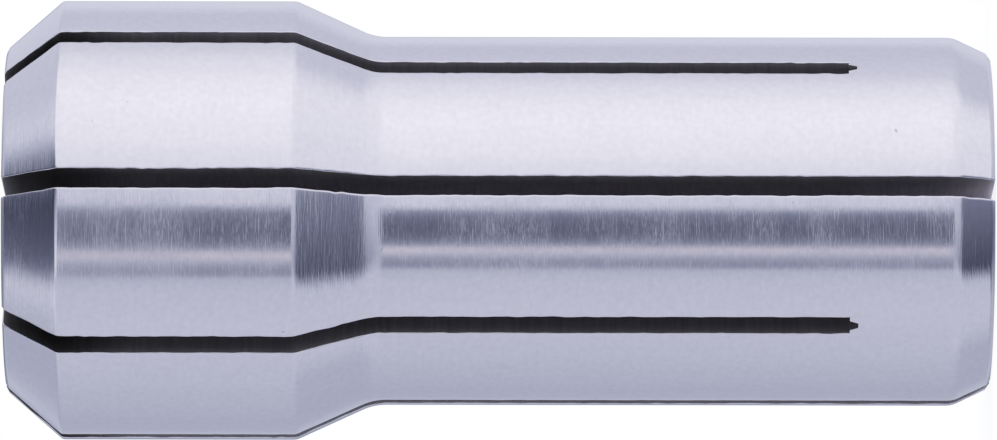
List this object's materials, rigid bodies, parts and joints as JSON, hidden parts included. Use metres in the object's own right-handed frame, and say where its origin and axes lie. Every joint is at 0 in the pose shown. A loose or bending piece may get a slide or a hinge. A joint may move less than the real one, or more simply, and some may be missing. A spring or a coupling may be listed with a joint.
{
  "type": "collet",
  "caption": "Double-taper collet in ground steel with a straight grip bore, a bevelled nose, a tapered shoulder and eight radial slits, of which every second one runs the full length.",
  "frame": {"origin": "centre of the rear face, which it stands on", "axes": "+Z along the axis towards the nose, and one of the full-length slits opens towards -Y"},
  "size_m": [0.0136, 0.0136, 0.0306],
  "materials": {
    "ground_steel": "hardened steel, finely ground round the axis"
  },
  "bodies": {
    "root": {"collet": "ground_steel"}
  },
  "joints": []
}
